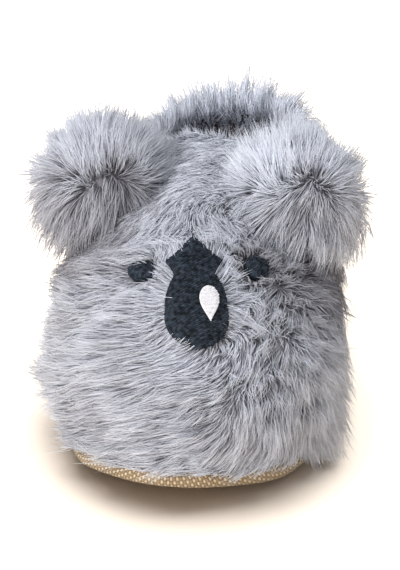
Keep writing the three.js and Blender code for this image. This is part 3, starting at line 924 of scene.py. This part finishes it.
def ear_skin(side):
    """Points and normals of an ear's core, in rings round the middle of its front."""
    centre, facing = (np.array(v) for v in EAR_PLACES[side])
    facing = unit(facing)
    across = unit(np.cross(facing, [0, 0, 1]))
    rise = unit(np.cross(across, facing))
    polar, angle = np.meshgrid(
        np.linspace(0.02, 0.98, EAR_ROWS) * math.pi,
        np.arange(EAR_COLUMNS) / EAR_COLUMNS * FULL_TURN,
        indexing="ij",
    )
    local = np.stack(
        [np.sin(polar) * np.cos(angle), np.sin(polar) * np.sin(angle), np.cos(polar)], -1
    )
    axes = np.stack([across, rise, facing])
    point = centre + (local * [EAR_RADIUS, EAR_RADIUS, EAR_DEPTH]) @ axes
    normal = unit((local / [EAR_RADIUS, EAR_RADIUS, EAR_DEPTH]) @ axes)
    outwards = unit(local[..., 0:1] * across + local[..., 1:2] * rise)
    return point, normal, outwards, polar


for side, label in SIDES:
    ear_point, ear_normal, _, _ = ear_skin(side)
    core = closed_rings(f"ear_core_{label}", ear_point - ear_normal * BACKING_INSET)
    ear_core = put_in_scene(f"ear_core_{label}", core, upper_cloth.data.materials[0])
    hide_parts(f"ear_{label}_side")
    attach(ear_core, "root")


# Fur: long soft acrylic pile, grey and darker towards the roots, partly in its own colour and
# partly with painted shade deep in the pile. It is knitted into the backing and combed towards the
# outer side over the face. Its hairs gather into tapering locks, and they lie so close that they
# take the light together, as the skin under them would.
PILE = 10.0
HAIR = 0.27
BIG_LOCK = 4.2
SMALL_LOCK = 1.7
TAPER = 0.55
ELBOW = 0.22
BIG_LOCK_PULL = 0.55
BIG_LOCK_SWAY = 0.3
SLOW_WAVES = 75.0
QUICK_WAVES = 300.0
LOWEST_HAIR = 0.4
SKIN_FIELDS = ("thickness", "light", "ruffle", "locks")
# The roots' colour is partly the fibre's own and partly painted shade deep in the pile.
ROOT_COLOUR = (0.34, 0.335, 0.375, 1)
TIP_COLOUR = (0.77, 0.805, 0.895, 1)
HAIR_TONES = 0.16
PATCH_TONES = 0.6


def vectors(tree, operation, a, b=None, scale=None):
    inputs = {0: a}
    if b is not None:
        inputs[1] = b
    if scale is not None:
        inputs["Scale"] = scale
    made = connect(tree, "ShaderNodeVectorMath", inputs, operation=operation)
    return made.outputs["Value" if operation in ("LENGTH", "DOT_PRODUCT") else "Vector"]


def fur_tree():
    """Hairs on a skin that holds where each one is combed to, as the attribute comb. A hair is a
    cone that leaves the skin upright and bends over to its tip."""
    sizes = (
        ("Density", "NodeSocketFloat"),
        ("Bends", "NodeSocketInt"),
        ("Hair", "NodeSocketFloat"),
        ("Big Lock", "NodeSocketFloat"),
        ("Small Lock", "NodeSocketFloat"),
        ("Gather", "NodeSocketFloat"),
        ("Stray", "NodeSocketFloat"),
        ("Wave", "NodeSocketFloat"),
        ("Stand", "NodeSocketFloat"),
        ("Softness", "NodeSocketFloat"),
        ("Seed", "NodeSocketInt"),
        ("Clear Of", "NodeSocketObject"),
        ("Clearance", "NodeSocketFloat"),
        ("Material", "NodeSocketMaterial"),
    )
    tree, start, end = open_tree("fur", sizes)
    given = start.outputs

    def times(a, b):
        return maths(tree, "MULTIPLY", a, b)

    def scaled(a, amount):
        return vectors(tree, "SCALE", a, scale=amount)

    def random_vector(seed):
        inputs = {"Min": (-1.0,) * 3, "Max": (1.0,) * 3, "Seed": seed}
        made = connect(tree, "FunctionNodeRandomValue", inputs, data_type="FLOAT_VECTOR")
        return made.outputs[0]

    def random_share(low, high, seed):
        inputs = {2: low, 3: high, "Seed": seed}
        made = connect(tree, "FunctionNodeRandomValue", inputs, data_type="FLOAT")
        return made.outputs[1]

    def keep(geometry, label, value, kind="FLOAT_VECTOR"):
        made = connect(
            tree,
            "GeometryNodeStoreNamedAttribute",
            {"Geometry": geometry, "Name": label, "Value": value},
            data_type=kind,
            domain="POINT",
        )
        return made.outputs[0]

    density = times(given["Density"], named(tree, "thickness", "FLOAT"))
    spread = connect(
        tree,
        "GeometryNodeDistributePointsOnFaces",
        {"Mesh": given["Geometry"], "Density": density, "Seed": given["Seed"]},
    )
    spot = connect(tree, "GeometryNodeInputPosition").outputs[0]
    sewn_on = connect(
        tree, "GeometryNodeObjectInfo", {"Object": given["Clear Of"]}, transform_space="ORIGINAL"
    )
    nearest = connect(
        tree, "GeometryNodeProximity", {0: sewn_on.outputs["Geometry"]}, target_element="FACES"
    )
    too_near = maths(tree, "LESS_THAN", nearest.outputs["Distance"], given["Clearance"])
    too_near = times(too_near, nearest.outputs["Is Valid"])
    rooted = connect(
        tree,
        "GeometryNodeDeleteGeometry",
        {"Geometry": spread.outputs["Points"], "Selection": too_near},
        domain="POINT",
    ).outputs[0]
    rooted = keep(rooted, "root", spot)
    rooted = keep(rooted, "upright", spread.outputs["Normal"])

    def lock(size):
        inputs = {"Vector": root, "Scale": maths(tree, "DIVIDE", 1.0, size)}
        return connect(tree, "ShaderNodeTexVoronoi", inputs)

    root = named(tree, "root")
    big, small = lock(given["Big Lock"]), lock(given["Small Lock"])
    to_big = vectors(tree, "SUBTRACT", big.outputs["Position"], root)
    to_small = vectors(tree, "SUBTRACT", small.outputs["Position"], root)
    length = random_share(0.72, 1.12, 7)
    combed = scaled(named(tree, "comb"), length)
    reach = vectors(tree, "LENGTH", combed)
    slow = noise(tree, root, SLOW_WAVES, 2.0, "Color")
    quick = noise(tree, root, QUICK_WAVES, 1.0, "Color")
    sway = vectors(tree, "ADD", slow, quick)
    sway = vectors(tree, "SUBTRACT", sway, (1.0, 1.0, 1.0))
    wave = times(given["Wave"], named(tree, "ruffle", "FLOAT"))
    sway = scaled(sway, times(reach, wave))
    big_sway = vectors(tree, "SUBTRACT", big.outputs["Color"], (0.5, 0.5, 0.5))
    big_reach = times(reach, BIG_LOCK_SWAY)
    big_sway = scaled(big_sway, big_reach)
    stray = times(reach, given["Stray"])
    gather = times(given["Gather"], named(tree, "locks", "FLOAT"))
    tip = combed
    for part in (
        scaled(to_big, times(gather, BIG_LOCK_PULL)),
        scaled(to_small, gather),
        sway,
        big_sway,
        scaled(random_vector(11), stray),
    ):
        tip = vectors(tree, "ADD", tip, part)
    rooted = keep(rooted, "tip", tip)
    rooted = keep(rooted, "spin", random_vector(23))
    tone = maths(tree, "ADD", random_share(-0.5, 0.5, 31), big.outputs["Distance"])
    # The skin's light field adds painted light and shade to each hair's tone.
    tone = maths(tree, "ADD", tone, named(tree, "light", "FLOAT"))
    rooted = keep(rooted, "tone", tone, "FLOAT")

    hair = connect(
        tree,
        "GeometryNodeMeshCone",
        {
            "Vertices": 3,
            "Side Segments": given["Bends"],
            "Radius Top": 0.0,
            "Radius Bottom": 1.0,
            "Depth": 1.0,
        },
        fill_type="NGON",
    )
    smooth = connect(tree, "GeometryNodeSetShadeSmooth", {"Geometry": hair.outputs["Mesh"]})
    shaped = keep(smooth.outputs[0], "local", spot)
    placed = connect(
        tree, "GeometryNodeInstanceOnPoints", {"Points": rooted, "Instance": shaped}
    )
    real = connect(tree, "GeometryNodeRealizeInstances", {0: placed.outputs[0]}).outputs[0]

    local = connect(tree, "ShaderNodeSeparateXYZ", {0: named(tree, "local")})
    along = local.outputs[2]
    back = maths(tree, "SUBTRACT", 1.0, along)
    width = times(maths(tree, "POWER", back, TAPER), given["Hair"])
    width = maths(tree, "DIVIDE", width, maths(tree, "MAXIMUM", back, 0.05))

    tip = named(tree, "tip")
    upright = named(tree, "upright")
    tip_reach = vectors(tree, "LENGTH", tip)
    lift = times(tip_reach, given["Stand"])
    lifted = scaled(upright, lift)
    elbow = vectors(tree, "ADD", lifted, scaled(tip, ELBOW))
    elbow_share = times(times(along, back), 2.0)
    tip_share = times(along, along)
    sideways = vectors(tree, "NORMALIZE", vectors(tree, "CROSS_PRODUCT", tip, named(tree, "spin")))
    other = vectors(tree, "NORMALIZE", vectors(tree, "CROSS_PRODUCT", tip, sideways))
    place = named(tree, "root")
    for way, amount in (
        (elbow, elbow_share),
        (tip, tip_share),
        (sideways, times(local.outputs[0], width)),
        (other, times(local.outputs[1], width)),
    ):
        place = vectors(tree, "ADD", place, scaled(way, amount))
    split = connect(tree, "ShaderNodeSeparateXYZ", {0: place})
    above_floor = maths(tree, "MAXIMUM", split.outputs[2], LOWEST_HAIR * MM)
    place = connect(
        tree, "ShaderNodeCombineXYZ", {0: split.outputs[0], 1: split.outputs[1], 2: above_floor}
    ).outputs[0]
    grown = connect(tree, "GeometryNodeSetPosition", {"Geometry": real, "Position": place})
    grown = keep(grown.outputs[0], "along", along, "FLOAT")
    own_normal = connect(tree, "GeometryNodeInputNormal").outputs[0]
    facing = connect(
        tree,
        "ShaderNodeMapRange",
        {
            "Value": vectors(tree, "DOT_PRODUCT", own_normal, upright),
            "From Min": -0.25,
            "From Max": 0.35,
            "To Max": given["Softness"],
        },
    ).outputs[0]
    own_part = scaled(own_normal, maths(tree, "SUBTRACT", 1.0, facing))
    skin_part = scaled(upright, facing)
    soft_normal = vectors(tree, "NORMALIZE", vectors(tree, "ADD", own_part, skin_part))
    grown = connect(
        tree,
        "GeometryNodeSetMeshNormal",
        {"Mesh": grown, "Custom Normal": soft_normal},
        mode="FREE",
        domain="POINT",
    ).outputs[0]
    for label in ("local", "root", "tip", "spin", "upright", "comb", *SKIN_FIELDS):
        inputs = {"Geometry": grown, "Name": label}
        grown = connect(tree, "GeometryNodeRemoveAttribute", inputs).outputs[0]
    dress(tree, grown, given["Material"], end)
    return tree


def fur_material(name, root_colour, tip_colour):
    """Acrylic fibre: darker towards the roots, partly its own colour and partly painted shade in
    the depth of the pile, pale at the tips, each hair its own tone.
    """
    material, tree, shader = surface_material(name, 0.7, sheen=0.2)
    along = connect(tree, "ShaderNodeAttribute", attribute_name="along").outputs["Fac"]
    tone = connect(tree, "ShaderNodeAttribute", attribute_name="tone").outputs["Fac"]
    place = connect(tree, "ShaderNodeTexCoord").outputs["Object"]
    patches = noise(tree, place, 60.0, 2.0)
    depth = maths(tree, "POWER", maths(tree, "MINIMUM", along, 1.0), 1.1)
    uneven = maths(tree, "MULTIPLY", maths(tree, "SUBTRACT", tone, 0.3), HAIR_TONES)
    patch = maths(tree, "MULTIPLY", maths(tree, "SUBTRACT", patches, 0.5), PATCH_TONES)
    share = maths(tree, "ADD", maths(tree, "ADD", depth, uneven), patch)
    held = connect(tree, "ShaderNodeClamp", {"Value": share}).outputs[0]
    tree.links.new(mix_colours(tree, held, root_colour, tip_colour), shader.inputs["Base Color"])
    return material


FUR = fur_tree()
grey_fur = fur_material("grey_fur", ROOT_COLOUR, TIP_COLOUR)


def skin_with_comb(name, points, comb, **fields):
    """A skin of rings, in millimetres. Its points know where their hairs are combed to, and how
    thick, ruffled and drawn into locks the fur is there, and how much painted light or shade
    lightens or darkens it."""
    base = mesh_of(name, points, ring_faces(*points.shape[:2]))
    add_field(base, "comb", comb.reshape(-1, 3) * MM)
    for label in SKIN_FIELDS:
        add_field(base, label, np.broadcast_to(fields[label], comb.shape[:-1]).ravel())
    return base


def sewn_on_pads():
    """One hidden mesh of the face's outlines, drawn in a little. No fur grows within them."""
    points, faces = [], []
    for outline, middle in [(nose_edge, nose_middle), *eye_edges]:
        drawn_in = middle + (outline - middle) * 0.95
        faces.append(list(range(len(points), len(points) + len(outline))))
        points += list(face_place(*drawn_in.T)[0])
    return mesh_of("face_outlines", points, faces)


def mix(a, b, share):
    share = np.asarray(share)[..., None] if np.ndim(share) < np.ndim(a) else share
    return a * (1 - share) + b * share


def upper_comb():
    """Where the fur of the upper is combed to, and its other fields. a and b are the face's own
    sideways and upwards, and inner is the turn from the toe towards the inner side."""
    point, normal, down, round_ = skin_point, skin_normal, skin_down, skin_round
    x, y, z = point[..., 0], point[..., 1], point[..., 2]
    inner = np.where(skin_turn > 0.5, skin_turn - 1, skin_turn)
    away = point - face_point
    a, b = away @ face_across, away @ face_rise
    lift = np.full_like(x, 0.34)
    pile = np.full_like(x, PILE)

    # Behind the side seam the nap runs down to the sole, and on the vamp to the outer side.
    vamp = smooth_step(-y, -26, -14)
    nap = mix(down, down * 0.22 - round_, vamp)

    # The inner cheek is brushed up and ruffled, and the flank beside it hangs over the sole.
    cheek = smooth_step(inner, 0.02, 0.075) * vamp
    flank = smooth_step(inner, 0.13, 0.2)
    standing = cheek * (1 - flank) * smooth_step(skin_share, 0.08, 0.24)
    hanging = smooth_step(inner, 0.11, 0.15) * smooth_step(-skin_share, -0.36, -0.18) * vamp
    nap = mix(nap, down * 0.7 - round_ * 0.45, cheek)
    nap = mix(nap, down, hanging)
    lift += 0.6 * standing
    pile *= (1 - 0.25 * standing) * (1 - 0.25 * flank * vamp)

    # Low on the outer side a full tuft stands out.
    tuft = smooth_step(-inner, 0.1, 0.16) * np.exp(-(((skin_share - 0.14) / 0.08) ** 2)) * vamp
    lift += 0.55 * tuft + 0.55 * hanging
    pile *= 1 + 0.25 * hanging + 0.35 * tuft + 0.15 * flank * vamp

    # The forehead parts above the nose, and leaves the nose's tip clear.
    forehead = smooth_step(b, 13, 20) * toe_share(skin_turn)
    downwards = (0.5 + 0.7 * smooth_step(b, 16, 22))[..., None] * down
    parted = unit(0.85 * np.tanh((a + 1.5) / 5.0)[..., None] * face_across + downwards)
    parted = mix(parted, down * 0.4 - face_across * 0.9, smooth_step(b, 21, 37))
    nap = mix(nap, parted, forehead)
    over_tip = np.exp(-((a / 4.0) ** 2) - ((b - 19.0) / 4.0) ** 2)
    aside = np.tanh(a / 1.5)[..., None] * face_across + 0.1 * down
    nap = mix(nap, aside, 0.75 * over_tip)
    lift -= 0.1 * forehead
    pile *= (1 - 0.2 * forehead) * (1 - 0.65 * over_tip)

    # Beside the nose it is short and lies away from it.
    reach = reach_of(nose_edge, nose_middle, a, b)
    beside = smooth_step(-reach, -2.0, -1.1) * (y < 0) * smooth_step(-b, -18, -12)
    from_nose = unit(a[..., None] * face_across + b[..., None] * face_rise)
    nap = mix(nap, from_nose, beside * (0.85 - 0.5 * smooth_step(-b, 3, 9)))
    lift -= 0.12 * beside
    pile *= 1 - 0.4 * beside

    # Round the eyes too, but from above it falls over them, more so on the outer side.
    for edge, middle in eye_edges:
        around = reach_of(edge, middle, a, b)
        near = smooth_step(-around, -2.4, -1.1) * (y < 0)
        off_a, off_b = a - middle[0], b - middle[1]
        below = smooth_step(-off_b, -1.5, 2.5)
        from_eye = unit(off_a[..., None] * face_across + off_b[..., None] * face_rise)
        above = smooth_step(off_b, 0.5, 3.0) * smooth_step(-np.abs(off_a + 1), -6, -3) * near
        above *= 0.55 if middle[0] < 0 else 0.2
        nap = mix(nap, from_eye, near * (0.9 - 0.35 * below) * (1 - above))
        nap = mix(nap, down - round_ * 0.2, above)
        pile *= 1 - 0.45 * near * (1 - above)
        lift += 0.3 * above - 0.12 * near * (1 - above)

    # Under the ears it is short, and painted shade darkens it there, most in the crease below
    # them.
    under_ear = np.zeros_like(x)
    crease_shade = np.zeros_like(x)
    for centre, _ in EAR_PLACES.values():
        apart = np.linalg.norm(point - centre, axis=-1)
        under_ear = np.maximum(under_ear, smooth_step(-apart, -25, -17))
        lower = smooth_step(-apart, -33, -25) * smooth_step(centre[2] - z, 2, 8)
        crease_shade = np.maximum(crease_shade, lower)
    crease_shade *= smooth_step(np.abs(a), 7, 14)
    lift -= 0.15 * under_ear
    pile *= 1 - 0.6 * under_ear

    # It is short at the outer hem, and at the collar it turns up and outwards.
    outer_hem = smooth_step(-inner, 0.1, 0.16) * smooth_step(-skin_share, -0.12, -0.02) * vamp
    pile *= 1 - 0.4 * outer_hem
    collar = smooth_step(skin_share, 0.88, 0.98)
    outwards = unit(np.stack([x, y - COLLAR_MIDDLE, 0 * x], -1))
    nap = mix(nap, outwards * 0.6 + np.array([0, 0, 0.8]), collar * (1 - toe_share(skin_turn)))
    pile *= 1 - 0.4 * collar

    tangent = unit(nap - normal * (nap * normal).sum(-1, keepdims=True))
    tangent *= np.minimum(1, np.linalg.norm(nap, axis=-1, keepdims=True))
    comb = unit(normal * lift[..., None] + tangent) * pile[..., None]

    # No hair is combed under the floor, nor at the toe below the top of the sole.
    toe = smooth_step(-inner, -0.15, -0.12) * smooth_step(inner, -0.27, -0.2)
    sole_top = SOLE_THICKNESS + spring_at(y) + 0.3
    lowest = mix(np.full_like(x, 1.2), sole_top, toe)
    comb[..., 2] = np.maximum(comb[..., 2], lowest - z)

    seen = smooth_step(-y, -34, 4)
    side_seam = np.exp(-(((y - 20) / 1.2) ** 2))
    # Painted shade darkens the fur under the ears, in the crease below them and on the inner
    # flank; painted light lightens the forehead, the short fur beside the nose and the brushed-up
    # cheek.
    shade = 1.2 * under_ear + 1.3 * flank * vamp + 3.4 * crease_shade
    fields = {
        "thickness": (0.5 + 0.5 * seen) * (1 - 0.7 * side_seam) * (1 + 0.3 * forehead),
        "light": 0.9 * forehead + 0.9 * beside + 1.5 * standing - shade,
        "ruffle": 1.15 + 1.6 * standing + 0.6 * (1 - seen) - 0.4 * beside,
        "locks": 0.9 + 0.8 * standing - 0.35 * forehead - 0.2 * beside,
    }
    return comb, fields


clear_of = put_in_scene("face_outlines", sewn_on_pads(), black_cloth)
comb, fields = upper_comb()
FUR_SIZES = {
    "Bends": 2,
    "Hair": HAIR / 2 * MM,
    "Big Lock": BIG_LOCK * MM,
    "Small Lock": SMALL_LOCK * MM,
    "Gather": 0.46,
    "Stray": 0.13,
    "Wave": 0.8,
    "Stand": 0.4,
    "Softness": 0.7,
    "Clear Of": clear_of,
    "Clearance": 0.1 * MM,
    "Material": grey_fur,
}
FUR_LAYERS = ((2, 0.88, 1.0), (2, 0.88, 0.9), (2, 0.88, 0.8), (1, 2.95, 0.7), (1, 1.25, 0.5))
for layer, (bends, per_mm, long) in enumerate(FUR_LAYERS):
    skin = skin_with_comb(f"fur_skin_{layer}", skin_point, comb * long, **fields)
    values = dict(FUR_SIZES, Bends=bends, Density=per_mm / MM**2, Seed=layer + 3)
    fur = grow(f"upper_fur_{layer + 1}", skin, FUR, values, grey_fur)
    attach(fur, "root")


# Collar fur: a band of the same pile, turned over the collar's edge and stitched down inside. It
# stands up round the opening, longest at the heel, and hangs a little way in.
COLLAR_PILE = 5.8
COLLAR_HAIR = 0.34
LINING_COMB = ((0.96, -0.7, 0.6), (0.92, -0.9, 0.25), (0.88, -0.9, -0.2))
collar_turn = np.arange(SKIN_COLUMNS) / SKIN_COLUMNS
outer_rim, inner_rim = upper_point(collar_turn, 1.0), upper_point(collar_turn, 1.0, WALL)
collar_out = outer_rim - [0, COLLAR_MIDDLE, 0]
collar_out = unit(collar_out * [1, 1, 0])
collar_rows, collar_combs = [], []
for step in np.linspace(0, 1, 5):
    roll = math.sin(step * math.pi) * RIM_ROLL
    collar_rows.append(outer_rim * (1 - step) + inner_rim * step - collar_out * roll)
    lean = 0.9 - 1.3 * step
    collar_combs.append(unit(collar_out * lean + np.array([0, 0, 0.8])))
for share, lean, rise in LINING_COMB:
    collar_rows.append(upper_point(collar_turn, share, WALL))
    collar_combs.append(unit(collar_out * lean + np.array([0, 0, rise])) * 0.6)
collar_pile = COLLAR_PILE * (1 + 0.85 * heel_share(collar_turn))
collar_rows, collar_combs = np.array(collar_rows), np.array(collar_combs) * collar_pile[:, None]
skin = skin_with_comb(
    "collar_skin",
    collar_rows,
    collar_combs,
    thickness=1.0,
    # Painted light: a light field this high gives the whole band the tips' pale colour, to lift
    # the shade inside the opening.
    light=5.0,
    ruffle=1.3,
    locks=0.6,
)
values = dict(FUR_SIZES, Density=5.0 / MM**2, Seed=21, Clearance=0.0, Stray=0.2)
values["Hair"] = COLLAR_HAIR / 2 * MM
fur = grow("collar_fur", skin, FUR, values, grey_fur)
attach(fur, "root")


# Ear fur: the same pile on both faces of each ear. It parts along a ragged line across the ear's
# middle, is fluffed up above it and hangs down below. Painted light makes the inner ear's fur
# lighter, and painted shade darkens the hanging locks below and a little along the parting.
EAR_PILE = 8.0
EAR_FALLS = {1: (-0.45, -0.1, -0.9), -1: (0.05, -0.1, -1.0)}
# Painted light on each ear's fur, more on the inner ear, which the lamps leave darker.
EAR_PAINTED_LIGHT = {1: 2.0, -1: 0.3}
EAR_LAYERS = ((2, 4.2, 1.0), (1, 5.0, 0.75))
for side, label in SIDES:
    ear_point, ear_normal, ear_outwards, ear_polar = ear_skin(side)
    off_pole = np.sin(ear_polar)
    height = ear_outwards[..., 2] * off_pole
    ragged = 0.16 * np.sin(ear_point[..., 0] * 0.5 + side) + 0.09 * np.sin(ear_point[..., 0] * 1.7)
    below = smooth_step(-height + ragged, -0.3, 0.24)
    sideways = ear_outwards * [1, 1, 0]
    parted = 0.75 * (1 - smooth_step(off_pole, 0.3, 0.95))[..., None]
    spread = smooth_step(off_pole, 0.0, 0.55)[..., None] * (ear_outwards - sideways * parted)
    rising = ear_normal * 0.4 + spread * 0.75 + np.array([0, 0, 0.45])
    falling = ear_normal * 0.5 + spread * 0.4 + unit(np.array(EAR_FALLS[side])) * 0.8
    ear_comb = unit(mix(rising, falling, below)) * (EAR_PILE * (1 + 0.4 * below))[..., None]
    line = np.exp(-((height / 0.2) ** 2) - (off_pole / 0.75) ** 2) * (np.cos(ear_polar) > 0)
    for layer, (bends, per_mm, long) in enumerate(EAR_LAYERS):
        skin = skin_with_comb(
            f"ear_skin_{label}",
            ear_point,
            ear_comb * long,
            thickness=1.0,
            # Painted light and shade: each side's own amount, darker on the hanging locks below
            # and along the parting.
            light=EAR_PAINTED_LIGHT[side] - 2.2 * below - 0.3 * line,
            ruffle=1 + 0.6 * below,
            locks=0.7 + 0.5 * below,
        )
        values = dict(FUR_SIZES, Bends=bends, Density=per_mm / MM**2, Seed=40 + side + 9 * layer)
        values.update(Clearance=0.0, Gather=0.58, Stray=0.18)
        fur = grow(f"ear_fur_{label}_{layer + 1}", skin, FUR, values, grey_fur)
        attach(fur, "root")

bpy.data.objects.remove(clear_of)
